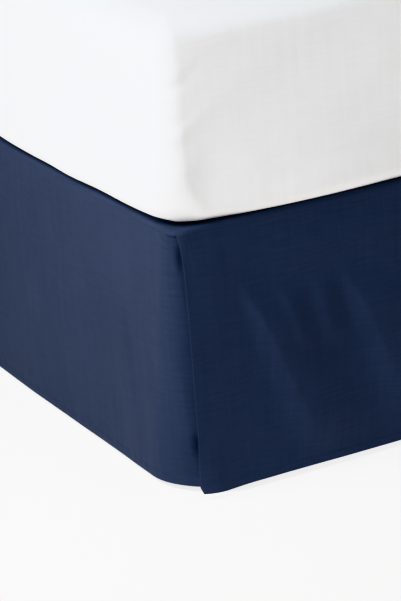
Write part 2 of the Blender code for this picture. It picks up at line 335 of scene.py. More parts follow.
@dataclass
class ClothGrid:
    """A cloth's outer face as a grid over two lengths measured in the cloth.

    Attributes:
        at: Grid lines along the cloth, in the order of the columns.
        depth: Grid lines down the cloth, in the order of the rows.
        points: Rows by columns by xyz.
    """

    at: Array
    depth: Array
    points: Array

    def mirrored(self) -> "ClothGrid":
        """The same cloth on the other side of the bed, its columns turned round."""
        flipped = self.points[:, ::-1] * np.array((-1.0, 1.0, 1.0))
        return ClothGrid(self.at[::-1], self.depth, flipped)

    def build(self, name: str, thickness: float) -> Piece:
        """Make the cloth as an object with thickness, its cloth coordinates in metres.

        Args:
            name: The object's name.
            thickness: The cloth's thickness.

        Returns:
            The object.
        """
        uv = np.stack(np.meshgrid(self.at, -self.depth), axis=-1)
        made = new_object(name, self.points, grid_faces(*uv.shape[:2]).tolist(), uv)
        thicken(made, thickness)
        return made

    def sample(self, at: Array, depth: Array) -> tuple[Array, Array]:
        """Places and normals on the cloth, between grid lines by straight interpolation.

        Args:
            at: Places along the cloth.
            depth: Depths of those places.

        Returns:
            Points by xyz, and a unit normal for each.
        """
        order = np.argsort(self.at)
        column = np.interp(at, self.at[order], np.arange(len(order)))
        row = np.interp(depth, self.depth, np.arange(len(self.depth)))
        left = np.minimum(column.astype(int), len(order) - 2)
        upper = np.minimum(row.astype(int), len(self.depth) - 2)
        across, down = (column - left)[:, None], (row - upper)[:, None]
        found = []
        for values in (self.points[:, order], grid_normals(self.points)[:, order]):
            top = values[upper, left] * (1 - across) + values[upper, left + 1] * across
            foot = values[upper + 1, left] * (1 - across) + values[upper + 1, left + 1] * across
            found.append(top * (1 - down) + foot * down)
        return found[0], found[1] / np.linalg.norm(found[1], axis=1, keepdims=True)


# ================================================================ materials
def arithmetic(operation: str, reflected: bool = False) -> Callable[["Num", object], "Num"]:
    """An operator of Num that adds a Math node.

    Args:
        operation: The Math node's operation.
        reflected: Whether the other value comes first.

    Returns:
        The method.
    """

    def combine(number: "Num", other: object) -> "Num":
        """Work out this number and another."""
        pair = (other, number) if reflected else (number, other)
        return number.graph.math(operation, *pair)

    return combine


class Num:
    """A socket that carries a number. Arithmetic on it adds Math nodes."""

    def __init__(self, graph: "Graph", socket: Socket) -> None:
        """Wrap a socket of a graph."""
        self.graph = graph
        self.socket = socket

    __add__ = arithmetic("ADD")
    __radd__ = arithmetic("ADD", reflected=True)
    __sub__ = arithmetic("SUBTRACT")
    __rsub__ = arithmetic("SUBTRACT", reflected=True)
    __mul__ = arithmetic("MULTIPLY")
    __rmul__ = arithmetic("MULTIPLY", reflected=True)

    def sine(self) -> "Num":
        """The sine of this number of radians."""
        return self.graph.math("SINE", self)

    def within(self, low: float, high: float) -> "Num":
        """0 below low, 1 above high and eased between them."""
        inputs = {"Value": self, "From Min": low, "From Max": high}
        return self.graph.num("ShaderNodeMapRange", {"interpolation_type": "SMOOTHSTEP"}, inputs)


class Graph:
    """The node tree of one material, with its Principled shader."""

    def __init__(self, name: str) -> None:
        """Start a material of that name."""
        self.material = bpy.data.materials.new(name)
        self.material.use_nodes = True
        self.tree = self.material.node_tree
        self.shader = self.tree.nodes["Principled BSDF"]

    def node(self, kind: str, settings: dict, inputs: dict) -> bpy.types.Node:
        """Add a node.

        Args:
            kind: The node's type.
            settings: Its properties, set first.
            inputs: Values, sockets or numbers for its inputs, by name or number.

        Returns:
            The node.
        """
        made = self.tree.nodes.new(kind)
        for key, value in settings.items():
            setattr(made, key, value)
        for key, value in inputs.items():
            self.feed(made.inputs[key], value)
        return made

    def feed(self, socket: Socket, value: object) -> None:
        """Link a socket or number to an input, or set the input's own value.

        Args:
            socket: The input.
            value: A socket, a number or a plain value.
        """
        source = value.socket if isinstance(value, Num) else value
        if isinstance(source, Socket):
            self.tree.links.new(source, socket)
        else:
            socket.default_value = source

    def num(self, kind: str, settings: dict, inputs: dict) -> Num:
        """Add a node and wrap its first output as a number."""
        return Num(self, self.node(kind, settings, inputs).outputs[0])

    def math(self, operation: str, *values: object) -> Num:
        """Add a Math node over values in order."""
        return self.num("ShaderNodeMath", {"operation": operation}, dict(enumerate(values)))

    def cloth_lengths(self) -> tuple[Num, Num]:
        """The two lengths measured in the cloth, in metres."""
        uv = self.node("ShaderNodeUVMap", {"uv_map": UV_NAME}, {}).outputs[0]
        parts = self.node("ShaderNodeSeparateXYZ", {}, {0: uv})
        return Num(self, parts.outputs[0]), Num(self, parts.outputs[1])

    def grain(self, along: Num, down: Num, blobs: tuple[float, float], detail: float = 2.0) -> Num:
        """Noise between 0 and 1 over two lengths.

        Args:
            along: The first length.
            down: The second length.
            blobs: Number of blobs to the metre along each.
            detail: Octaves of finer noise.

        Returns:
            The noise.
        """
        place = self.node("ShaderNodeCombineXYZ", {}, {0: along * blobs[0], 1: down * blobs[1]})
        inputs = {"Vector": place.outputs[0], "Scale": 1.0, "Detail": detail}
        return self.num("ShaderNodeTexNoise", {"noise_dimensions": "2D"}, inputs)

    def noise(self, blobs: float, detail: float = 2.0) -> Num:
        """Noise between 0 and 1 in the object's space, with so many blobs to the metre.

        Args:
            blobs: Number of blobs to the metre.
            detail: Octaves of finer noise.

        Returns:
            The noise.
        """
        place = self.node("ShaderNodeTexCoord", {}, {}).outputs["Object"]
        inputs = {"Vector": place, "Scale": blobs, "Detail": detail}
        return self.num("ShaderNodeTexNoise", {}, inputs)

    def blend(self, factor: Num, first: Triple, second: Triple) -> Socket:
        """Mix two colours.

        Args:
            factor: Share of the second one.
            first: A colour.
            second: Another.

        Returns:
            The mix.
        """
        settings = {"data_type": "RGBA", "clamp_factor": True}
        inputs = {0: factor, 6: (*first, 1.0), 7: (*second, 1.0)}
        return self.node("ShaderNodeMix", settings, inputs).outputs[2]

    def bump(self, height: Num) -> Socket:
        """A normal tilted by a height in metres."""
        inputs = {"Height": height, "Distance": 1.0, "Strength": 1.0}
        return self.node("ShaderNodeBump", {}, inputs).outputs[0]

    def finish(self, **sockets: object) -> Material:
        """Feed the shader's sockets, named with underscores for spaces.

        Args:
            sockets: What each socket takes.

        Returns:
            The material.
        """
        for key, value in sockets.items():
            self.feed(self.shader.inputs[key.replace("_", " ")], value)
        return self.material


def shade(colour: Triple, factor: float) -> Triple:
    """A colour made lighter or darker by a factor."""
    return tuple(channel * factor for channel in colour)


@dataclass(frozen=True)
class WovenCloth:
    """Plain-woven cloth with slubs along the weft and a fainter grain along the warp.

    The colour is the mean one, linear. The slubs lighten and darken it by slub, and broad, soft
    patches and streaks by mottle.
    """

    name: str
    colour: Triple
    pitch: float = 0.0007
    weave_height: float = 0.00005
    slub: float = 0.19
    mottle: float = 0.09
    roughness: float = 0.85
    sheen: float = 0.0

    # Blobs of each noise to the metre, along and down the cloth.
    WEFT_SLUBS = (22.0, 260.0)
    WARP_SLUBS = (300.0, 16.0)
    PATCHES = (7.0, 7.0)
    STREAKS = (80.0, 8.0)
    SLUB_HEIGHT = 0.00015
    # The colour's factors where the tone is 0 and 1.
    DARKEST = 0.2
    LIGHTEST = 1.8

    def build(self) -> Material:
        """Make the material.

        The weave's height is the product of two sines, one turn to two threads. The slubs are
        noise stretched along one thread direction.

        Returns:
            The material.
        """
        graph = Graph(self.name)
        along, down = graph.cloth_lengths()
        turn = math.pi / self.pitch
        weave = (along * turn).sine() * (down * turn).sine()
        weft = graph.grain(along, down, self.WEFT_SLUBS, 3.0)
        warp = graph.grain(along, down, self.WARP_SLUBS, 3.0)
        patches = graph.grain(along, down, self.PATCHES, 3.0)
        streaks = graph.grain(along, down, self.STREAKS)
        tone = 0.5 + (weft - 0.5) * self.slub + (warp - 0.5) * (self.slub * 0.5)
        tone = tone + (patches + streaks - 1.0) * self.mottle + weave * 0.02
        height = weave * self.weave_height + (weft * 2.0 + warp) * (self.slub * self.SLUB_HEIGHT)
        darkest, lightest = shade(self.colour, self.DARKEST), shade(self.colour, self.LIGHTEST)
        return graph.finish(
            Base_Color=graph.blend(tone, darkest, lightest),
            Roughness=self.roughness + (weft - 0.5) * 0.10,
            Normal=graph.bump(height),
            Sheen_Weight=self.sheen,
            Sheen_Roughness=0.5,
            Specular_IOR_Level=0.15,
        )


@dataclass(frozen=True)
class SewingThread:
    """Polyester thread with a fine, soft-edged fleck."""

    name: str
    colour: Triple

    def build(self) -> Material:
        """Make the material: one fine noise gives the fleck, the gloss and the bump.

        Returns:
            The material.
        """
        graph = Graph(self.name)
        fleck = graph.noise(900.0)
        return graph.finish(
            Base_Color=graph.blend(fleck, shade(self.colour, 0.75), shade(self.colour, 1.25)),
            Roughness=0.70 + fleck * 0.15,
            Normal=graph.bump(fleck * 0.00004),
            Specular_IOR_Level=0.2,
        )


@dataclass(frozen=True)
class StripedTicking:
    """Close-woven ticking: a pale ground with a broad and a narrow stripe to each repeat."""

    name: str
    ground: Triple
    stripe: Triple
    repeat: float = 0.018
    twill_pitch: float = 0.0011

    # Levels of the sines between which the broad and the narrow stripes come in.
    BROAD = (0.75, 0.85)
    NARROW = (0.9, 0.96)
    GRAIN = (300.0, 40.0)

    def build(self) -> Material:
        """Make the material: stripes where a sine over the repeat is high, a twill as the bump.

        Returns:
            The material.
        """
        graph = Graph(self.name)
        along, down = graph.cloth_lengths()
        broad = (along * (FULL_TURN / self.repeat)).sine().within(*self.BROAD)
        narrow = (along * (3 * FULL_TURN / self.repeat)).sine().within(*self.NARROW)
        twill = ((along + down) * (FULL_TURN / self.twill_pitch)).sine()
        grain = graph.grain(along, down, self.GRAIN)
        tone = broad * 0.8 + narrow * 0.3 + (grain - 0.5) * 0.18
        return graph.finish(
            Base_Color=graph.blend(tone, self.ground, self.stripe),
            Roughness=0.78 + grain * 0.10,
            Normal=graph.bump(twill * 0.00004 + grain * 0.00005),
            Sheen_Weight=0.1,
        )


@dataclass(frozen=True)
class HardFinish:
    """A fine-textured hard surface: powder-coated steel or moulded plastic.

    Texture is the height of its fine bumps, grain their number to the metre, and rubbed how much
    lighter worn places are.
    """

    name: str
    colour: Triple
    roughness: float
    texture: float
    grain: float = 1400.0
    rubbed: float = 1.6

    # Smudges to the metre, and the levels of their noise between which rubbing comes in.
    SMUDGES = 14.0
    WORN = (0.58, 0.72)

    def build(self) -> Material:
        """Make the material: fine orange-peel bump, broad smudges in roughness, faint rubbing.

        Returns:
            The material.
        """
        graph = Graph(self.name)
        smudge = graph.noise(self.SMUDGES, 4.0)
        worn = smudge.within(*self.WORN)
        return graph.finish(
            Base_Color=graph.blend(worn, self.colour, shade(self.colour, self.rubbed)),
            Roughness=self.roughness + (smudge - 0.5) * 0.22,
            Normal=graph.bump(graph.noise(self.grain, 1.0) * self.texture),
        )


@dataclass(frozen=True)
class StudioPaper:
    """Seamless white paper for the floor, lit through from below by its glow."""

    name: str
    colour: Triple
    glow: float

    def build(self) -> Material:
        """Make the material: a hardly visible cloudiness over white, and an even glow.

        Returns:
            The material.
        """
        graph = Graph(self.name)
        cloud = graph.noise(1.3, 3.0)
        return graph.finish(
            Base_Color=graph.blend(cloud, shade(self.colour, 0.99), self.colour),
            Roughness=0.9,
            Emission_Color=(1.0, 1.0, 1.0, 1.0),
            Emission_Strength=self.glow,
        )


# ================================================================ the skirt's cut
@dataclass(frozen=True)
class SkirtCut:
    """Sizes of the skirt, from the CAD's boxes and the maker's allowances."""

    # From the bed's middle to the panels' outer faces at the rim, the deck's height, and the
    # depth of the hem's lower edge below it.
    half_width: float
    half_length: float
    deck_top: float
    drop: float
    # Thickness of the cloth, and the space between two panels where they overlap.
    cloth: float = 0.0015
    overlap_gap: float = 0.0015
    # Radius of the roll over the rim, which is the seam's depth, and of its corners in plan.
    roll: float = 0.006
    rim_corner: float = 0.024
    # How far the rim hangs at a corner, over what width and down to what depth under the seam.
    droop: float = 0.001
    droop_width: float = 0.042
    droop_depth: float = 0.050
    # How far cloth swells under the rim, and the depths over which that eases in and out.
    belly: float = 0.005
    belly_in: float = 0.045
    belly_out: float = 0.170
    # Height of the hem, how far it stands out, and the groove and puckers of its stitches.
    hem: float = 0.0127
    hem_rise: float = 0.0005
    groove: float = 0.0002
    pucker: float = 0.00016
    # Half the height of the close grid lines at the stitches, and the width of those at edges.
    band: float = 0.003
    lip: float = 0.0002

    # Lengths of the puckers' two waves, of the first one's drift, and how far it drifts.
    PUCKER_LENGTHS = (0.0173, 0.0291)
    DRIFT_LENGTH = 0.11
    DRIFT = 1.5
    # Depths over which the hem rises, and of the bells of its groove and puckers.
    RISE_DEPTH = 0.0030
    GROOVE_DEPTH = 0.0010
    PUCKER_DEPTH = 0.007
    # Depths where a panel's upper and middle stretches of grid lines end.
    UPPER_END = 0.060
    MIDDLE_END = 0.340

    @classmethod
    def from_frame(cls) -> "SkirtCut":
        """Read the sizes off the deck, the foot panel and a side panel.

        Returns:
            The cut.
        """
        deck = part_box("deck")[1]
        hem_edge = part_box("foot_panel")[0].z
        return cls(deck.x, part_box("side_panel_left")[1].y, deck.z, deck.z - hem_edge)

    @property
    def width(self) -> float:
        """Length of the foot panel."""
        return 2 * self.half_width

    @property
    def length(self) -> float:
        """Length of a side panel up to the square corner."""
        return 2 * self.half_length

    @property
    def stitch(self) -> float:
        """Depth of the hem's stitches."""
        return self.drop - self.hem

    def corner_droop(self, x: Array, y: Array) -> Array:
        """How far the rim hangs at the foot corners: it eases out with distance from them."""
        off_corner = np.hypot(self.half_width - np.abs(x), self.half_length + y)
        return self.droop * (1.0 - ease(off_corner / self.droop_width))

    def panel_points(self, x: Array, y: Array, depth: Array) -> Array:
        """Panel points by xyz: the height is the deck's less depth and the droop, which fades.

        Args:
            x: Places across the bed.
            y: Places along it.
            depth: Depths of those places.

        Returns:
            Points by xyz.
        """
        fading = 1.0 - ease((depth - self.roll) / self.droop_depth)
        height = self.deck_top - depth - self.corner_droop(x, y) * fading
        return np.stack((x, y, height), axis=-1)

    def rim_belly(self, depth: Array) -> Array:
        """How far cloth swells under the rim: the belly, eased in and then out again.

        Args:
            depth: Depths of the places.

        Returns:
            The swell at each place.
        """
        below = depth - self.roll
        swell = ease(below / self.belly_in) - ease((below - self.belly_in) / self.belly_out)
        return self.belly * swell

    def hem_relief(self, along: Array, depth: Array) -> Array:
        """Relief of the turned-up hem: a band that stands out, with a puckered groove above it.

        The band rises over 3 mm. The groove is a bell 1 mm wide. The puckers are two sine waves
        along it, the first of which drifts, and die away in a bell 7 mm wide.

        Args:
            along: Places along the panel.
            depth: Depths of those places.

        Returns:
            How far the cloth stands out.
        """
        over_hem, turns = depth - self.stitch, FULL_TURN * along
        first, second = self.PUCKER_LENGTHS
        drift = self.DRIFT * np.sin(turns / self.DRIFT_LENGTH)
        waves = np.sin(turns / first + drift) + np.sin(turns / second)
        puckers = self.pucker * waves * bell(over_hem, self.PUCKER_DEPTH)
        rise = self.hem_rise * ease(over_hem / self.RISE_DEPTH + 0.5)
        return rise - self.groove * bell(over_hem, self.GROOVE_DEPTH) + puckers

    def panel_rows(self, upper_steps: int, middle_steps: int) -> Array:
        """Grid lines down a panel: two stretches above the hem, then close ones across it.

        Args:
            upper_steps: Steps from the seam down to UPPER_END.
            middle_steps: Steps from there down to MIDDLE_END.

        Returns:
            Depths from the seam down to the hem's lower edge.
        """
        low, high, middle = self.stitch - self.band, self.stitch + self.band, self.MIDDLE_END
        above = ((self.roll, self.UPPER_END, upper_steps), (self.UPPER_END, middle, middle_steps))
        hem = ((middle, low, 4), (low, high, 7), (high, self.drop - self.lip, 5))
        rows = stations((*above, *hem))
        return np.concatenate((rows[:1], [self.roll + self.lip], rows[1:], [self.drop]))


# ================================================================ sewing
@dataclass
class StitchLine:
    """A run of lockstitch along a cloth: of each pitch, the length of the thread shows."""

    pitch: float = 0.0030
    length: float = 0.0024
    radius: float = 0.00026
    proud: float = 0.00005
    sides: int = 5

    # Of each ring: its place in lengths, and its width and depth in radii.
    RINGS = ((-0.5, 0.35, 1.0), (0.0, 1.0, 0.0), (0.5, 0.35, 1.0))

    def solid(self, place: Array, along: Array, up: Array) -> Part:
        """Points and faces of spindles, one for each place.

        A spindle has three rings, the outer ones a third as wide as the middle one and sunk by the
        thread's radius: place + along times the ring's station + a circle in the plane of up and
        the third direction.

        Args:
            place: Middles of the stitches.
            along: Unit directions of the thread.
            up: Unit normals of the cloth.

        Returns:
            Points by xyz and lists of faces.
        """
        turns = np.linspace(0.0, FULL_TURN, self.sides, endpoint=False)
        station, width, sunk = np.array(self.RINGS).T[..., None]
        station, width = station * self.length, width * self.radius
        lift = self.proud - sunk * self.radius
        rings = (station + 0 * turns, width * np.cos(turns), width * np.sin(turns) + lift)
        local = np.stack(rings, axis=-1).reshape(-1, 3)
        axes = np.stack((along, np.cross(along, up), up), axis=1)
        points = place[:, None] + np.einsum("pk,nkx->npx", local, axes)
        start = np.arange(len(place))[:, None] * len(local)
        wall = grid_faces(3, self.sides, closed=True)
        faces = (wall + start[..., None]).reshape(-1, 4).tolist()
        cap = np.arange(self.sides)
        for end in (cap, (2 * self.sides + cap)[::-1]):
            faces += (end + start).tolist()
        return points.reshape(-1, 3), faces

    def along_cloth(self, cloth: ClothGrid, route: Array) -> Part:
        """Stitches along a straight route in a cloth.

        Args:
            cloth: The cloth's outer face.
            route: Two ends, each a place along the cloth and a depth.

        Returns:
            Points by xyz and lists of faces.
        """
        run = float(np.linalg.norm(route[1] - route[0]))
        share = (np.arange(int(run / self.pitch)) + 0.5) * self.pitch / run
        at, depth = (route[0] + share[:, None] * (route[1] - route[0])).T
        place, up = cloth.sample(at, depth)
        along = np.gradient(place, axis=0)
        along -= np.sum(along * up, axis=1, keepdims=True) * up
        along /= np.linalg.norm(along, axis=1, keepdims=True)
        return self.solid(place, along, up)

    def sew(self, name: str, cloth: ClothGrid, routes: Sequence[tuple]) -> Piece:
        """Join the stitches of several routes on one cloth into an object."""
        points, faces = joined(self.along_cloth(cloth, np.asarray(route)) for route in routes)
        return new_object(name, points, faces, points[:, :2])


# ================================================================ cloths
@dataclass
class DeckCloth:
    """The flat cloth under the mattress, rolled down over the rim on three sides."""

    cut: SkirtCut
    finish: WovenCloth
    # Where the deck ends at the head of the bed.
    head: float = 1.004
    # Steps of the grid, and the length beside a corner in which they are closer.
    roll_steps: int = 12
    corner_steps: int = 16
    corner_zone: float = 0.10
    least_radius: float = 0.0015
    # Distance from the rim within which the droop is gone.
    droop_fade: float = 0.060

    FLAT_INSETS = (0.070, 0.055, 0.043, 0.033, 0.025, 0.018, 0.013)

    def rim(self, inset: float) -> Array:
        """Plan of the rim, drawn in by an inset: head, left side, foot, right side, head.

        The corners are quarter circles whose radius is the rim's less the inset.

        Args:
            inset: Distance in from the outer edge.

        Returns:
            Points by xy.
        """
        radius = max(self.cut.rim_corner - inset, self.least_radius)
        side, foot = self.cut.half_width - inset, self.cut.half_length - inset
        near_foot, near_side = self.corner_zone - foot, self.corner_zone - side
        turn = np.linspace(math.pi, 1.5 * math.pi, self.corner_steps + 1)
        corner = np.stack((np.cos(turn), np.sin(turn)), axis=-1) * radius
        corner += np.array((radius - side, radius - foot))
        down = stations(((self.head, near_foot, 60), (near_foot, radius - foot, 20)))[:-1]
        across = stations(((radius - side, near_side, 20), (near_side, 0.0, 60)))[1:-1]
        down_side = np.stack((np.full_like(down, -side), down), axis=-1)
        along_foot = np.stack((across, np.full_like(across, -foot)), axis=-1)
        left = np.concatenate((down_side, corner, along_foot))
        return np.concatenate((left, [(0.0, -foot)], left[::-1] * np.array((-1.0, 1.0))))

    def surface(self) -> Array:
        """Rows from inside the deck outwards and down the roll.

        Inner rows lie flat, apart from the droop. The roll is a quarter circle: drawn in by
        r (1 - sin a) and down by r (1 - cos a).

        Returns:
            Rows by columns by xyz.
        """
        radius = self.cut.roll
        angles = np.linspace(0.0, QUARTER_TURN, self.roll_steps + 1)
        flat = np.array(self.FLAT_INSETS)
        insets = np.concatenate((flat, radius * (1 - np.sin(angles)), (0.0,)))
        falls = np.concatenate((0 * flat, radius * (1 - np.cos(angles)), (radius,)))
        falls[-2] -= self.cut.lip
        plan = np.stack([self.rim(inset) for inset in insets])
        fading = 1.0 - ease(insets / self.droop_fade)
        droop = self.cut.corner_droop(plan[..., 0], plan[..., 1]) * fading[:, None]
        return np.dstack((plan, self.cut.deck_top - falls[:, None] - droop))

    def build(self) -> list[Piece]:
        """Returns:
            The cloth.
        """
        points = self.surface()
        rows, columns, _ = points.shape
        faces = grid_faces(rows, columns).tolist() + [list(range(columns))]
        piece = new_object("deck_cloth", points, faces, points[..., :2])
        thicken(piece, self.cut.cloth)
        dress(piece, self.finish.build(), "skirt_cloth", "deck")
        return [piece]


@dataclass
class Panel:
    """What the hung panels share: the skirt's sizes, the cloth and the thread."""

    cut: SkirtCut
    finish: WovenCloth
    thread: SewingThread

    # Where stitches end before an end of the hem, and their depth at the top of a free edge.
    EDGE_MARGIN = 0.001
    SEAM_MARGIN = 0.012
    # Depth, and distance from where they start beside a free edge, over which waves come in.
    WAVE_DEPTH = 0.09
    WAVE_MARGIN = 0.06
    # What lifts the cloth: its folds and dents, and its waves.
    FORMS = ()
    WAVES = ()

    def lifted(self, at: Array, depth: Array, from_edge: Array) -> Array:
        """How far the folds, the dents, the waves and the hem lift the cloth.

        Args:
            at: Places along the cloth.
            depth: Depths of those places.
            from_edge: Distances from where waves start beside a free edge.

        Returns:
            The lift at each place.
        """
        fade = ease(depth / self.WAVE_DEPTH) * ease(from_edge / self.WAVE_MARGIN)
        forms, waves = (relief(at, depth, own) for own in (self.FORMS, self.WAVES))
        return forms + fade * waves + self.cut.hem_relief(at, depth)

    def make(
        self, node: str, cloth: ClothGrid, span: tuple[float, float], edges: Sequence[float]
    ) -> list[Piece]:
        """Args:
            node: The CAD node that it replaces.
            cloth: Its outer face.
            span: Where its two ends are along the cloth.
            edges: Where stitches run down its free edges.

        Returns:
            The cloth and its stitches.
        """
        cut = self.cut
        piece = cloth.build(f"{node}_cloth", cut.cloth)
        dress(piece, self.finish.build(), "skirt_cloth", node)
        hem_route = tuple((end, cut.stitch) for end in span)
        edge_routes = (((edge, self.SEAM_MARGIN), (edge, cut.stitch)) for edge in edges)
        sewn = StitchLine().sew(f"{node}_stitches", cloth, (hem_route, *edge_routes))
        dress(sewn, self.thread.build(), "skirt_cloth")
        return [piece, sewn]


@dataclass
class FootPanel(Panel):
    """The panel across the foot end, with a free edge at each corner."""

    # How far the hem's corners turn in, over what width and from what depth.
    hem_curl: float = 0.0095
    curl_width: float = 0.034
    curl_start: float = 0.300
    # Length over which the lean of a free edge eases out, and radius of that edge.
    lean_width: float = 0.250
    edge_round: float = 0.0012
    # How far a free edge stands out, over what width, from what depth and eased in over which.
    edge_stand: float = 0.0045
    stand_width: float = 0.090
    stand_start: float = 0.012
    stand_depth: float = 0.050
    # Depth over which the upper edge stops following the rim's round corners.
    tuck_depth: float = 0.034

    # Distance from a free edge over which the belly comes in.
    BELLY_MARGIN = 0.05
    # Share of a quarter circle that a free edge is rounded by, and of its turn squared.
    ROUNDED = 0.8
    TURNED = 0.96
    # Share of the rim's corner radius up to which the upper edge follows its circle.
    TUCKED = 0.98
    EDGE_LINES = (0.0, 0.0003, 0.0007, 0.0012)
    EDGE_LEAN = (
        (0.000, 0.0080),
        (0.020, 0.0120),
        (0.070, 0.0132),
        (0.145, 0.0159),
        (0.235, 0.0172),
        (0.325, 0.0187),
        (0.370, 0.0217),
        (0.381, 0.0267),
    )
    FORMS = (
        Fold(0.084, 0.080, 0.204, 0.335, 0.008, 0.028, 0.075, 0.0180),
        Fold(0.254, 0.090, 0.356, 0.325, 0.008, 0.027, 0.085, 0.0175),
        Fold(0.150, 0.100, 0.184, 0.190, 0.008, 0.014, 0.026, 0.0036),
        Fold(0.208, 0.095, 0.236, 0.195, 0.008, 0.015, 0.026, 0.0052),
        Fold(0.640, 0.080, 0.740, 0.330, 0.060, 0.090, 0.160, 0.0035),
        Fold(1.060, 0.080, 0.990, 0.320, 0.070, 0.100, 0.150, 0.0035),
        Fold(1.330, 0.090, 1.290, 0.330, 0.050, 0.070, 0.090, 0.0030),
        Dent(0.018, 0.016, 0.012, 0.007, 0.0010),
    )
    WAVES = (
        Wave(0.43, 0.90, 0.4, 0.00035),
        Wave(0.17, -0.60, 2.1, 0.00018),
        Wave(0.071, 0.35, 4.0, 0.00007),
    )

    def lines_along(self) -> Array:
        """Grid lines along the panel, closest at the free edges and close over the folds.

        Returns:
            Places along the panel.
        """
        width, edge = self.cut.width, np.array(self.EDGE_LINES)
        folds = ((0.002, 0.018, 8), (0.018, 0.420, 120), (0.420, width - 0.350, 90))
        plain = ((width - 0.350, width - 0.018, 60), (width - 0.018, width - 0.002, 8))
        return np.concatenate((edge, stations((*folds, *plain)), width - edge[::-1]))

    def outward(self, along: Array, depth: Array, nearest: Array) -> Array:
        """How far the cloth stands out of the panel's plane.

        It is the sum of the folds, the waves, the hem, the belly under the rim and the stand of
        the free edges, less the curl of the hem's corners, a square law of nearness, and less the
        rounding of the free edge, most of a quarter circle that ends just before it is upright.

        Args:
            along: Places along the panel.
            depth: Depths of those places.
            nearest: Distances to the nearer free edge.

        Returns:
            The distance at each place.
        """
        cut, out = self.cut, self.lifted(along, depth, nearest)
        out += cut.rim_belly(depth) * ease(nearest / self.BELLY_MARGIN)
        stand = 1.0 - ease(nearest / self.stand_width)
        out += self.edge_stand * ease((depth - self.stand_start) / self.stand_depth) * stand
        curl = self.hem_curl * ease((depth - self.curl_start) / (cut.drop - self.curl_start))
        nearness = np.maximum(1.0 - nearest / self.curl_width, 0.0)
        inside = np.clip(1.0 - nearest / self.edge_round, 0.0, 1.0)
        turned = np.sqrt(1.0 - self.TURNED * inside**2)
        rounding = self.edge_round * self.ROUNDED * (1.0 - turned)
        return out - curl * nearness**2 - rounding

    def tuck(self, x: Array, depth: Array) -> Array:
        """How far the panel's upper edge is drawn in where it follows the rim round its corners.

        It is the set-back of a circle of the rim's corner radius, r - sqrt(r^2 - t^2), with t the
        distance past the start of the corner, and eases out with depth.

        Args:
            x: Places across the bed.
            depth: Depths of those places.

        Returns:
            The set-back at each place.
        """
        radius = self.cut.rim_corner
        past = np.clip(np.abs(x) - (self.cut.half_width - radius), 0.0, radius * self.TUCKED)
        setback = radius - np.sqrt(radius**2 - past**2)
        return setback * (1.0 - ease((depth - self.cut.roll) / self.tuck_depth))

    def grid(self) -> ClothGrid:
        """The panel's outer face.

        Across, it is the place along the panel plus the lean of the nearer free edge, which eases
        out along it. It stands out of its plane by outward and is drawn in by tuck.

        Returns:
            The cloth's grid.
        """
        cut, lines, rows = self.cut, self.lines_along(), self.cut.panel_rows(18, 66)
        along, depth = np.meshgrid(lines, rows)
        from_right = cut.width - along
        lean = np.interp(depth, *np.array(self.EDGE_LEAN).T)
        x = -cut.half_width + along + lean * (1.0 - ease(along / self.lean_width))
        x -= lean * (1.0 - ease(from_right / self.lean_width))
        out = self.outward(along, depth, np.minimum(along, from_right))
        y = -cut.half_length + self.tuck(x, depth) - out
        return ClothGrid(lines, rows, cut.panel_points(x, y, depth))

    def build(self) -> list[Piece]:
        """Make the panel and its stitches along the hem and down both free edges.

        Returns:
            The cloth and its stitches.
        """
        width, hem = self.cut.width, self.cut.hem
        span = (self.EDGE_MARGIN, width - self.EDGE_MARGIN)
        return self.make("foot_panel", self.grid(), span, (hem, width - hem))


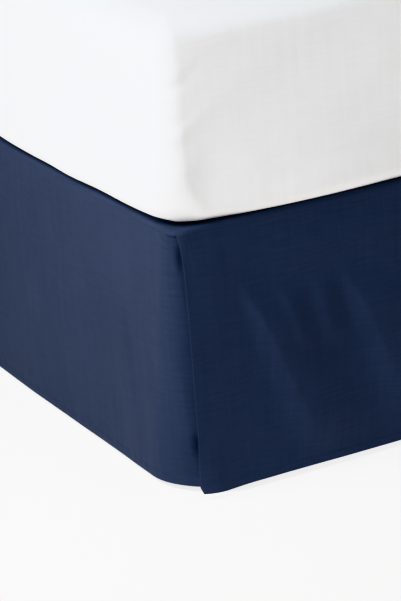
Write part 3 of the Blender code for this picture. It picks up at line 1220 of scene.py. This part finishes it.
@dataclass
class SidePanel(Panel):
    """A long side panel that wraps round the foot corner like part of a cone."""

    side: Side
    # How far across and along the bed the turn reaches at the hem.
    wrap_width: float = 0.107
    wrap_length: float = 0.102
    # Reach of the end behind the foot panel.
    underlap_end: float = -0.120

    # Reach from which waves start, and over which they come in.
    WAVE_START = -0.02
    WAVE_MARGIN = 0.08
    # Points of a section's turn.
    TURN_POINTS = 160
    FORMS = (
        Fold(0.172, 0.140, 0.166, 0.240, 0.016, 0.020, 0.024, 0.0012),
        Fold(0.160, 0.220, 0.140, 0.370, 0.018, 0.028, 0.032, 0.0018),
        Fold(0.100, 0.220, 0.078, 0.381, 0.018, 0.030, 0.034, 0.0020),
        Fold(0.034, 0.170, 0.012, 0.350, 0.012, 0.020, 0.026, 0.0016),
        Fold(0.430, 0.120, 0.470, 0.381, 0.060, 0.080, 0.100, 0.0022),
        Fold(0.018, -0.006, 0.001, 0.018, 0.0024, 0.0028, 0.0034, 0.0014),
        Fold(0.032, -0.004, 0.003, 0.022, 0.0024, 0.0028, 0.0038, 0.0014),
        Fold(0.046, 0.000, 0.006, 0.028, 0.0026, 0.0030, 0.0042, 0.0012),
        Dent(0.001, 0.042, 0.006, 0.017, 0.0045),
        Dent(0.011, 0.318, 0.008, 0.016, 0.0075),
    )
    WAVES = (
        Wave(0.52, 1.10, 1.3, 0.00040),
        Wave(0.19, -0.70, 0.2, 0.00018),
        Wave(0.083, 0.40, 3.1, 0.00007),
    )

    def section(self, depth: float, reach: Array) -> tuple[Array, Array]:
        """A level section round the corner: straight, a quarter of an ellipse, straight.

        The ellipse's two half axes grow evenly with depth from the rim's corner radius to the wrap
        at the hem. Places are read off the section by the distance travelled along it.

        Args:
            depth: Depth of the section.
            reach: Distances still to go to the square corner.

        Returns:
            Places across and along the bed from its square corner, and outward directions.
        """
        share, rim, end = depth / self.cut.drop, self.cut.rim_corner, self.cut.length
        across = rim + (self.wrap_width - rim) * share
        length = rim + (self.wrap_length - rim) * share
        behind = self.cut.cloth + self.cut.overlap_gap
        turn = np.linspace(0.0, QUARTER_TURN, self.TURN_POINTS)
        cosine, sine = np.cos(turn), np.sin(turn)
        arc = np.stack((across * (1.0 - cosine), behind + length * (1.0 - sine)), axis=-1)
        arc_out = np.stack((-length * cosine, -across * sine), axis=-1)
        arc_out /= np.linalg.norm(arc_out, axis=1, keepdims=True)
        place = np.concatenate(([(0.0, end)], arc, [(end, behind)]))
        outward = np.concatenate(([(-1.0, 0.0)], arc_out, [(0.0, -1.0)]))
        distance = travelled(place)
        found = [np.interp(end - reach, distance, column) for column in (*place.T, *outward.T)]
        return np.stack(found[:2], axis=-1), np.stack(found[2:], axis=-1)

    def grid(self) -> ClothGrid:
        """The left panel's outer face: level sections moved out by the folds, waves and hem.

        Returns:
            The cloth's grid.
        """
        cut = self.cut
        far = ((cut.length, 0.640, 90), (0.640, 0.240, 80))
        near = ((0.240, 0.060, 56), (0.060, -0.060, 70), (-0.060, self.underlap_end, 12))
        lines, rows = stations((*far, *near)), cut.panel_rows(16, 56)
        sections = [self.section(depth, lines) for depth in rows]
        place, outward = (np.stack(found) for found in zip(*sections))
        reach, depth = np.meshgrid(lines, rows)
        out = self.lifted(reach, depth, reach - self.WAVE_START)
        plan = np.array((-cut.half_width, -cut.half_length)) + place + out[..., None] * outward
        return ClothGrid(lines, rows, cut.panel_points(plan[..., 0], plan[..., 1], depth))

    def build(self) -> list[Piece]:
        """Make the panel and its stitches along the hem and down its head edge.

        Returns:
            The cloth and its stitches.
        """
        cloth = self.grid() if self.side is Side.LEFT else self.grid().mirrored()
        span = (self.cut.length - self.EDGE_MARGIN, self.underlap_end)
        head = self.cut.length - self.cut.hem
        return self.make(f"side_panel_{self.side.value}", cloth, span, (head,))


# ================================================================ mattress and box spring
class Ring(NamedTuple):
    """One level outline of a block: how far it is drawn in, its height and its corner radius."""

    inset: float
    height: float
    radius: float


class Roll(NamedTuple):
    """A quarter of an ellipse at a block's upper or lower edge: how far it goes in and how high."""

    inward: float
    high: float

    def quarter(self, steps: int) -> list[tuple[float, float]]:
        """Pairs of inset, inward (1 - sin a), and distance from the face, high (1 - cos a)."""
        angles = np.linspace(0.0, QUARTER_TURN, steps + 1)
        return list(zip(self.inward * (1 - np.sin(angles)), self.high * (1 - np.cos(angles))))


def rounded_outline(half_x: float, half_y: float, radius: float, counts: tuple) -> Array:
    """Points of a rectangle with round corners, anticlockwise seen from above.

    It starts at the head end and goes round by the left side, the foot and the right side. Each
    corner is a quarter circle, and the points between corners are evenly spaced.

    Args:
        half_x: Half its width.
        half_y: Half its length.
        radius: Radius of the corners.
        counts: Number of points on a side, on an end and in a corner.

    Returns:
        Points by xy.
    """
    on_side, on_end, in_corner = counts
    inner_x, inner_y = half_x - radius, half_y - radius
    turn = np.linspace(0.0, QUARTER_TURN, in_corner, endpoint=False)
    sine, cosine = radius * np.sin(turn), radius * np.cos(turn)
    level = np.linspace(0.0, 1.0, on_end, endpoint=False)
    down = np.linspace(1.0, -1.0, on_side, endpoint=False)
    stretches = (
        (inner_x * level, np.full(on_end, half_y)),
        (inner_x + sine, inner_y + cosine),
        (np.full(on_side, half_x), inner_y * down),
        (inner_x + cosine, -inner_y - sine),
        (inner_x * (1.0 - level), np.full(on_end, -half_y)),
    )
    right = np.concatenate([np.stack(stretch, axis=-1) for stretch in stretches])
    return np.concatenate((right, -right))[::-1]


@dataclass
class Block:
    """A closed block of level outlines, joined from the top down, with its cloth coordinates."""

    half_x: float
    half_y: float
    counts: tuple[int, int, int]

    LEAST_RADIUS = 0.004

    def points(self, rings: Sequence[Ring]) -> Array:
        """Rows by columns by xyz, one row for each ring.

        Args:
            rings: The outlines, from the top down.

        Returns:
            The points.
        """
        rows = []
        for inset, height, radius in rings:
            plan = rounded_outline(self.half_x - inset, self.half_y - inset, radius, self.counts)
            rows.append(np.column_stack((plan, np.full(len(plan), height))))
        return np.stack(rows)

    def wall(self, heights: tuple, rolls: tuple, corner: float, steps: tuple) -> list[Ring]:
        """Rings of the wall, from the top edge's roll to the bottom edge's, upright between them.

        Args:
            heights: Heights of the block's upper and lower faces.
            rolls: The rolls at the top and at the bottom.
            corner: Radius of the upright corners.
            steps: Steps in a roll and in the wall.

        Returns:
            Rings from the top down.
        """
        (top, bottom), (upper, lower), (in_roll, in_wall) = heights, rolls, steps
        head = [(inset, top - down) for inset, down in upper.quarter(in_roll)]
        middle = np.linspace(top - upper.high, bottom + lower.high, in_wall + 1)[1:-1].tolist()
        foot = [(inset, bottom + up) for inset, up in lower.quarter(in_roll)[::-1]]
        places = (*head, *((0.0, height) for height in middle), *foot)
        least = self.LEAST_RADIUS
        return [Ring(inset, height, max(corner - inset, least)) for inset, height in places]

    def build(self, name: str, points: Array, flat_rows: int) -> Piece:
        """Make the closed object.

        Args:
            name: The object's name.
            points: Rows by columns by xyz, from the top down.
            flat_rows: Rows at the top and at the bottom whose cloth coordinates are x and y.

        Returns:
            The object.
        """
        rows, columns, _ = points.shape
        around = np.broadcast_to(travelled(points[rows // 2]), (rows, columns))
        uv = np.stack((around, points[..., 2]), axis=-1)
        for flat in (slice(0, flat_rows), slice(rows - flat_rows, rows)):
            uv[flat] = points[flat, :, :2]
        return new_object(name, points, capped_faces(rows, columns), uv)


class Swell(NamedTuple):
    """A stretch of the mattress's border that stands out, or in where it is negative."""

    middle: float
    half_length: float
    out: float


def swelling(place: Array, swells: Sequence[Swell]) -> Array:
    """Sum of the swells at places along an edge: each one's out times a bell about its middle."""
    return sum(swell.out * bell(place - swell.middle, swell.half_length) for swell in swells)


@dataclass
class Mattress:
    """The mattress in its fitted white sheet, a little wider than the deck it lies on."""

    finish: WovenCloth
    # Radius of the upright corners, and the rounder one into which it blends at the underside.
    corner_radius: float = 0.030
    underside_corner: float = 0.060
    underside_blend: float = 0.070
    top_roll: Roll = Roll(0.040, 0.040)
    bottom_roll: Roll = Roll(0.024, 0.022)
    # How far the wall's lower part stands out, and the height from which that fades in a bell.
    overhang: float = 0.011
    belly_start: float = 0.020
    belly_reach: float = 0.090
    # Length beside the foot in which its swells replace the sides', and over which they blend.
    foot_zone: float = 0.030
    foot_blend: float = 0.020
    # Width of the creases' bell round a corner, and the height from which and in which they come.
    crease_reach: float = 0.050
    crease_start: float = 0.050
    crease_rise: float = 0.060
    # Height below the top in which the wall's relief comes in, and in which the top sinks.
    wall_edge: float = 0.050
    top_edge: float = 0.030
    # How far the lower edge is lifted at the corners and sides, how wide, and how high up.
    corner_lift: float = 0.0053
    corner_reach: float = 0.075
    side_lift: float = 0.0075
    side_reach: float = 0.060
    lift_height: float = 0.090
    # How far the top sinks at its rim and everywhere, and where its waves begin.
    crown: float = 0.004
    crown_reach: float = 0.300
    clearance: float = 0.0012
    rim_zone: float = 0.080

    # Points of an outline on a side, on an end and in a corner, steps in a roll and in the wall,
    # rings on the top, and rows at either end that lie flat.
    POINTS = (300, 150, 24)
    STEPS = (9, 30)
    TOP_RINGS = 13
    FLAT_ROWS = 16
    # Half the narrowest ring on top, how rings crowd towards the rim, and the underside's ring.
    TOP_MIDDLE = 0.020
    CROWDING = 1.6
    UNDERSIDE_INSET = 0.12
    # Least level share of a normal that is made up to a full length.
    LEAST_STEEPNESS = 0.2
    FOOT_SWELLS = (
        Swell(-0.700, 0.050, -0.0088),
        Swell(-0.620, 0.050, -0.0030),
        Swell(-0.540, 0.050, -0.0002),
        Swell(-0.460, 0.050, -0.0022),
        Swell(-0.380, 0.060, -0.0082),
        Swell(0.150, 0.200, 0.003),
        Swell(0.560, 0.100, -0.003),
    )
    SIDE_SWELLS = (
        Swell(-0.930, 0.060, 0.0011),
        Swell(-0.830, 0.060, -0.0006),
        Swell(-0.730, 0.060, 0.0035),
        Swell(-0.440, 0.060, -0.0070),
        Swell(0.200, 0.300, 0.003),
        Swell(0.700, 0.120, -0.002),
    )
    LIP = Dent(-0.560, 0.026, 0.110, 0.011, -0.0020)
    CREASES = (Wave(0.041, -0.026, 0.3, 0.00078), Wave(0.073, -0.043, 2.0, 0.00102))
    WRINKLES = (
        Wave(0.220, -0.110, 0.3, 0.00035),
        Wave(0.130, -0.070, 2.0, 0.00020),
        Wave(0.470, -0.800, 4.1, 0.00050),
    )
    TUFTS = (Wave(0.31, 0.9, 1.0, 0.001), Wave(-0.8, 0.27, 2.0, 0.001))

    def rings(self, block: Block, high: Vector, low: Vector) -> list[Ring]:
        """Outlines from the middle of the top to the middle of the underside.

        Args:
            block: The block whose wall is used.
            high: The highest corner of the mattress's box.
            low: The lowest one.

        Returns:
            Rings from the top down, more and more widely spaced towards the middle of the top.
        """
        rolls, first = (self.top_roll, self.bottom_roll), self.top_roll.inward
        least = block.LEAST_RADIUS
        spread = (np.linspace(1.0, 0.0, self.TOP_RINGS)[:-1] ** self.CROWDING).tolist()
        to_middle = high.x - self.TOP_MIDDLE - first
        rings = [Ring(first + share * to_middle, high.z, least) for share in spread]
        rounder = self.underside_corner - self.corner_radius
        for ring in block.wall((high.z, low.z), rolls, self.corner_radius, self.STEPS):
            near_base = 1.0 - float(ease((ring.height - low.z) / self.underside_blend))
            rings.append(ring._replace(radius=ring.radius + rounder * near_base))
        return [*rings, Ring(self.UNDERSIDE_INSET, low.z, least)]

    def wall_out(self, points: Array, low: float) -> Array:
        """How far wall points move out: overhang, swells, the border's lip, wrinkles and creases.

        The overhang and the swells fade up the wall in a bell. The lip is a low ridge just above
        the underside of the foot. The creases die away in a bell round the corners.

        Args:
            points: Points by xyz.
            low: Height of the underside.

        Returns:
            The distance for each point.
        """
        x, y, z = np.moveaxis(points, -1, 0)
        half_x, half_y, up = np.abs(x).max(), np.abs(y).max(), z - low
        at_foot = ease((np.abs(y) - (half_y - self.foot_zone)) / self.foot_blend)
        swells = at_foot * swelling(x, self.FOOT_SWELLS)
        swells += (1 - at_foot) * swelling(y, self.SIDE_SWELLS)
        belly = bell(np.maximum(up - self.belly_start, 0.0), self.belly_reach)
        off_corner = np.hypot(half_x - np.abs(x), half_y - np.abs(y))
        creased = ease((up - self.crease_start) / self.crease_rise)
        creases = relief(x + y, z, self.CREASES) * bell(off_corner, self.crease_reach) * creased
        wall = belly * (self.overhang + swells) + at_foot * self.LIP.lift(x, up)
        return wall + relief(x + y, z, self.WRINKLES) + creases

    def surface(self, block: Block, high: Vector, low: Vector) -> Array:
        """The sheet's outer face.

        Wall points move along their level normals by wall_out. The underside's edge is lifted
        along the sides and more near the corners. The top sinks towards its rim and has shallow
        waves.

        Args:
            block: The block whose outlines are used.
            high: The highest corner of the mattress's box.
            low: The lowest one.

        Returns:
            Rows by columns by xyz, from the top down.
        """
        points = block.points(self.rings(block, high, low))
        x, y, z = np.moveaxis(points, -1, 0)
        normals = grid_normals(points, closed=True)[..., :2]
        steepness = np.maximum(np.linalg.norm(normals, axis=-1), self.LEAST_STEEPNESS)
        out = self.wall_out(points, low.z) * ease((high.z - z) / self.wall_edge) / steepness
        off_x, off_y = high.x - np.abs(x), high.y - np.abs(y)
        rim = np.minimum(off_x, off_y)
        inside = ease(rim / self.rim_zone)
        sink = self.crown * (1.0 - ease(rim / self.crown_reach)) + self.clearance
        sink += relief(x, y, self.TUFTS) * inside
        lift = self.corner_lift * bell(np.hypot(off_x, off_y), self.corner_reach)
        lift += self.side_lift * ease(1 - off_x / self.side_reach)
        lift *= ease(1.0 - (z - low.z) / self.lift_height) * ease(1.0 - rim / self.rim_zone)
        risen = z + lift - ease((z - (high.z - self.top_edge)) / self.top_edge) * sink
        return np.dstack((points[..., :2] + normals * out[..., None], risen))

    def build(self) -> list[Piece]:
        """Returns:
            The mattress.
        """
        low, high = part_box("mattress")
        block = Block(high.x, high.y, self.POINTS)
        surface = self.surface(block, high, low)
        piece = block.build("mattress_with_sheet", surface, self.FLAT_ROWS)
        dress(piece, self.finish.build(), "mattress_sheet", "mattress")
        return [piece]


@dataclass
class BoxSpring:
    """The low box spring in its ticking, with a piped edge above and below."""

    finish: StripedTicking
    piping: WovenCloth
    # Radius of the upright corners and of the edges, and how far the wall is drawn in halfway.
    corner_radius: float = 0.055
    roll: float = 0.012
    hollow: float = 0.0018
    # Half the piping's height, where its middle lies, its flatness and the spacing of its points.
    cord_radius: float = 0.0035
    cord_inset: float = 0.0012
    cord_from_face: float = 0.013
    cord_flatness: float = 0.6
    cord_spacing: float = 0.0025

    # Points of the cover's and of the cord's outline on a side, on an end and in a corner.
    POINTS = (110, 60, 14)
    CORD_POINTS = (90, 50, 12)
    CORD_SIDES = 8
    # Steps in a roll and in the wall, and rows at either end that lie flat.
    STEPS = (6, 14)
    FLAT_ROWS = 4
    # Inset and corner radius of the rings in the upper and lower faces.
    FACE_RING = (0.10, 0.006)
    # Widths of the bells, about half its height, in which the wall is wavy and drawn in.
    WAVE_REACH = 0.050
    HOLLOW_REACH = 0.045
    WAVE_SINK = 0.0006
    WAVES = (Wave(0.23, 0.3, 0.0, 0.0005),)

    def build(self) -> list[Piece]:
        """Make the cover, drawn in along its middle as a bell and a little wavy, and its piping.

        Returns:
            The cover and its two pipings.
        """
        low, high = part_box("box_spring")
        block = Block(high.x, high.y, self.POINTS)
        roll = Roll(self.roll, self.roll)
        wall = block.wall((high.z, low.z), (roll, roll), self.corner_radius, self.STEPS)
        inset, corner = self.FACE_RING
        ends = [Ring(inset, height, corner) for height in (high.z, low.z)]
        points = block.points([ends[0], *wall, ends[1]])
        x, y, z = np.moveaxis(points, -1, 0)
        off_middle = z - (low.z + high.z) / 2
        waves = relief(x + y, z, self.WAVES) - self.WAVE_SINK
        out = waves * bell(off_middle, self.WAVE_REACH)
        out -= self.hollow * bell(off_middle, self.HOLLOW_REACH)
        points += grid_normals(points, closed=True) * out[..., None]
        cover = block.build("box_spring_cover", points, self.FLAT_ROWS)
        dress(cover, self.finish.build(), "base_ticking", "box_spring")
        top = self.pipe("box_spring_piping_top", high, high.z - self.cord_from_face)
        foot = self.pipe("box_spring_piping_foot", high, low.z + self.cord_from_face)
        return [cover, top, foot]

    def pipe(self, name: str, high: Vector, height: float) -> Piece:
        """A covered cord round the block: eight points of an ellipse carried along the outline.

        Args:
            name: The piece's name.
            high: The box spring's highest corner.
            height: Height of the cord's middle.

        Returns:
            The object.
        """
        rings = []
        for turn in np.linspace(FULL_TURN, 0.0, self.CORD_SIDES + 1)[1:].tolist():
            inset = self.cord_inset - self.cord_radius * self.cord_flatness * math.cos(turn)
            up = self.cord_radius * math.sin(turn)
            rings.append(Ring(inset, height + up, self.corner_radius - inset))
        points = Block(high.x, high.y, self.CORD_POINTS).points(rings)
        rows, columns, _ = points.shape
        girth = np.arange(rows) * self.cord_spacing
        uv = np.stack(np.meshgrid(travelled(points[0]), girth), axis=-1)
        faces = grid_faces(rows, columns, closed=True, looped=True).tolist()
        return dress(new_object(name, points, faces, uv), self.piping.build(), "base_ticking")


# ================================================================ steel frame
def lathe(profile: Sequence[tuple[float, float]], centre: Triple, sides: int) -> Part:
    """A closed turned shape: the profile carried round an upright axis.

    Args:
        profile: Radius and height of each ring, from the top down.
        centre: Foot of the axis.
        sides: Points in a ring.

    Returns:
        Points by xyz and lists of faces.
    """
    radius, height = np.array(profile).T[..., None]
    turns = np.linspace(0.0, FULL_TURN, sides, endpoint=False)
    rings = (radius * np.cos(turns), radius * np.sin(turns), height + 0 * turns)
    points = np.stack(rings, axis=-1) + np.array(centre)
    return points.reshape(-1, 3), capped_faces(len(profile), sides)


@dataclass
class SteelFrame:
    """The steel frame: three rails along, three across and nine legs on glides."""

    steel: HardFinish
    plastic: HardFinish
    # Radius of a rail's long edges, and size of the bevel at its ends.
    tube_corner: float = 0.004
    tube_bevel: float = 0.0015
    # The leg, the foot of its glide, and the height of the glide's collar round the leg.
    leg_radius: float = 0.016
    glide_radius: float = 0.024
    glide_height: float = 0.010
    socket_top: float = 0.022
    sides: int = 32
    # Degrees past which an edge of a leg stays sharp.
    sharp_angle: float = 35.0

    RAILS = ("rail_left", "rail_centre", "rail_right")
    CROSS_RAILS = ("cross_rail_foot", "cross_rail_middle", "cross_rail_head")
    LEGS = tuple(f"leg_{number}" for number in range(1, 10))
    # Points of a rail's section on a side, on an end and in a corner.
    SECTION = (2, 2, 5)

    def tube(self, node: str, material: Material) -> Piece:
        """A rectangular tube with rounded edges: its section carried along its length.

        The two end rings are drawn in, which bevels the ends.

        Args:
            node: The CAD node that it replaces.
            material: The finish.

        Returns:
            The object.
        """
        low, high = (np.array(corner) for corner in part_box(node))
        middle, half = (low + high) / 2, (high - low) / 2
        long_axis = int(np.argmax(half[:2]))
        reach, half_wide = half[long_axis], half[1 - long_axis]
        section = rounded_outline(half_wide, half[2], self.tube_corner, self.SECTION)
        ends = np.array((-reach, self.tube_bevel - reach))
        stops = np.concatenate((ends, (-reach / 2, 0.0, reach / 2), -ends[::-1]))
        drawn = np.ones(len(stops))
        drawn[[0, -1]] -= self.tube_bevel / half_wide
        points = np.empty((len(stops), len(section), 3))
        points[..., long_axis] = stops[:, None]
        points[..., 1 - long_axis] = drawn[:, None] * section[:, 0]
        points[..., 2] = drawn[:, None] * section[:, 1]
        points = (points + middle)[:: -1 if long_axis == 0 else 1]
        faces = capped_faces(*points.shape[:2])
        piece = new_object(f"{node}_tube", points, faces, points[..., :2])
        return dress(piece, material, "frame_steel", node)

    def leg(self, node: str) -> tuple[Part, Part]:
        """A leg with a rounded shoulder and its glide, both turned.

        Args:
            node: The CAD node of the leg.

        Returns:
            The leg and its glide.
        """
        low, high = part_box(node)
        centre = ((low.x + high.x) / 2, (low.y + high.y) / 2, 0.0)
        radius, glide, foot = self.leg_radius, self.glide_radius, self.glide_height
        shoulder = ((radius - 0.003, high.z), (radius - 0.001, high.z - 0.0006))
        straight = np.linspace(high.z - 0.02, foot + 0.02, 6).tolist()
        heights = (high.z - 0.0025, *straight, foot + 0.004)
        wall = [(radius, height) for height in heights]
        # The glide from its collar down to its foot.
        base = (
            (radius + 0.0015, self.socket_top),
            (radius + 0.0025, self.socket_top - 0.002),
            (radius + 0.0025, foot + 0.002),
            (glide - 0.002, foot),
            (glide, foot - 0.002),
            (glide, 0.002),
            (glide - 0.0006, 0.0006),
            (glide - 0.002, 0.0),
        )
        profile = (*shoulder, *wall, (radius - 0.001, foot + 0.003))
        return lathe(profile, centre, self.sides), lathe(base, centre, self.sides)

    def legs(self, steel: Material, plastic: Material) -> list:
        """All the legs as one piece and their glides as another.

        Args:
            steel: The legs' finish.
            plastic: The glides' finish.

        Returns:
            Both pieces.
        """
        tubes, glides = zip(*(self.leg(node) for node in self.LEGS))
        made = []
        for name, parts in (("leg_tubes", tubes), ("leg_glides", glides)):
            points, faces = joined(parts)
            piece = new_object(name, points, faces, points[:, :2])
            piece.data.set_sharp_from_angle(angle=math.radians(self.sharp_angle))
            made.append(piece)
        dress(made[0], steel, "frame_steel", *self.LEGS)
        dress(made[1], plastic, "frame_steel")
        return made

    def build(self) -> list[Piece]:
        """Make the rails, the cross rails, the legs and the glides.

        Returns:
            The pieces.
        """
        steel, plastic = self.steel.build(), self.plastic.build()
        made = [self.tube(node, steel) for node in (*self.RAILS, *self.CROSS_RAILS)]
        return made + self.legs(steel, plastic)


# ================================================================ studio
COOL_WHITE = (0.91, 0.95, 1.0)


class SoftLamp(NamedTuple):
    """A square soft lamp that looks at the studio's aim.

    Azimuth is counted from +X towards +Y and elevation from the floor, in degrees. Spread is the
    width of its cone in degrees.
    """

    name: str
    azimuth: float
    elevation: float
    distance: float
    size: float
    power: float
    spread: float
    tint: Triple = (1.0, 1.0, 1.0)

    def hang(self, aim: Vector) -> None:
        """Put the lamp in the scene.

        Args:
            aim: The point that it looks at.
        """
        lamp = bpy.data.lights.new(self.name, "AREA")
        lamp.size = self.size
        lamp.energy = self.power
        lamp.spread = math.radians(self.spread)
        lamp.color = self.tint
        away = Matrix.Translation((0.0, 0.0, self.distance))
        turn = turned(self.azimuth, self.elevation)
        linked(self.name, lamp).matrix_world = Matrix.Translation(aim) @ turn @ away


@dataclass
class Studio:
    """A glowing white paper floor, two cool lamps on the left and a weak fill on the right."""

    paper: StudioPaper
    # The camera's turn from +X towards +Y, how far it looks down and its roll, in degrees.
    yaw: float = 62.1148
    pitch: float = 20.1127
    roll: float = 3.5194
    # Its focal length in pixels of a picture so many high, and its sensor in millimetres.
    focal_pixels: float = 2462.29
    picture_height: float = 601.0
    sensor: float = 36.0
    sight: float = 60.0
    stand: Triple = (-2.14863, -3.71110, 1.40639)
    floor_half: float = 12.0
    # Strength of the white light from all round.
    surround: float = 0.22
    # What the lamps look at: halfway down the foot corner that shows.
    aim: Triple = (-0.76, -1.0, 0.35)

    LAMPS = (
        SoftLamp("key", 168.0, 44.0, 1.3, 0.42, 6.5, 130.0, COOL_WHITE),
        SoftLamp("raking fill", 197.0, 50.0, 2.6, 0.9, 66.0, 180.0, COOL_WHITE),
        SoftLamp("far fill", 312.0, 30.0, 4.0, 1.6, 11.0, 180.0),
    )

    def camera(self) -> None:
        """Place the camera, which looks away from the sky behind it, and roll it."""
        lens = bpy.data.cameras.new("camera")
        lens.sensor_width = self.sensor
        lens.lens = self.focal_pixels * self.sensor / self.picture_height
        lens.clip_end = self.sight
        made = linked("camera", lens)
        turn = turned(self.yaw + 180.0, self.pitch, -self.roll)
        made.matrix_world = Matrix.Translation(self.stand) @ turn
        bpy.context.scene.camera = made

    def light(self) -> None:
        """Hang the lamps and fill the surround."""
        for lamp in self.LAMPS:
            lamp.hang(Vector(self.aim))
        world = bpy.data.worlds.new("surround")
        world.use_nodes = True
        background = world.node_tree.nodes["Background"]
        background.inputs["Color"].default_value = (1.0, 1.0, 1.0, 1.0)
        background.inputs["Strength"].default_value = self.surround
        bpy.context.scene.world = world

    def floor(self) -> Piece:
        """Lay the paper.

        Returns:
            The floor.
        """
        line = np.linspace(-self.floor_half, self.floor_half, 5)
        plan = np.stack(np.meshgrid(line, line[::-1]), axis=-1)
        points = np.dstack((plan, np.zeros(plan.shape[:2])))
        paper = new_object("floor", points, grid_faces(5, 5).tolist(), plan)
        paper.data.materials.append(self.paper.build())
        return paper

    def build(self) -> list[Piece]:
        """Set the studio up.

        Returns:
            Its floor.
        """
        self.camera()
        self.light()
        bpy.context.scene.view_settings.view_transform = "Khronos PBR Neutral"
        return [self.floor()]


# ================================================================ this bed
NAVY_COTTON = WovenCloth("navy cotton", (0.0310, 0.0402, 0.0702))
NAVY_THREAD = SewingThread("navy thread", (0.0460, 0.0540, 0.0840))
WHITE_PERCALE = WovenCloth(
    "white percale", (0.815, 0.805, 0.80), 0.0005, 0.00002, 0.03, 0.03, 0.75, 0.05
)
TICKING = StripedTicking("striped ticking", (0.62, 0.63, 0.64), (0.20, 0.22, 0.26))
GREY_PIPING = WovenCloth("grey piping", (0.33, 0.34, 0.37), 0.0006, 0.00004, 0.15, 0.05)
COATED_STEEL = HardFinish("powder-coated steel", (0.022, 0.022, 0.024), 0.45, 0.00006)
GLIDE_PLASTIC = HardFinish(
    "moulded plastic", (0.018, 0.018, 0.019), 0.55, 0.00003, grain=2600.0, rubbed=2.2
)
WHITE_PAPER = StudioPaper("white paper", (0.67, 0.64, 0.61), 0.85)


def main() -> None:
    """Build the bed from the base outward, then the studio, and report each piece."""
    cut = SkirtCut.from_frame()
    makers = (
        BoxSpring(TICKING, GREY_PIPING),
        DeckCloth(cut, NAVY_COTTON),
        FootPanel(cut, NAVY_COTTON, NAVY_THREAD),
        *(SidePanel(cut, NAVY_COTTON, NAVY_THREAD, side) for side in Side),
        Mattress(WHITE_PERCALE),
        SteelFrame(COATED_STEEL, GLIDE_PLASTIC),
        Studio(WHITE_PAPER),
    )
    for maker in makers:
        for piece in maker.build():
            log.info("%s: %d faces before modifiers", piece.name, len(piece.data.polygons))


if __name__ == "__main__":
    main()
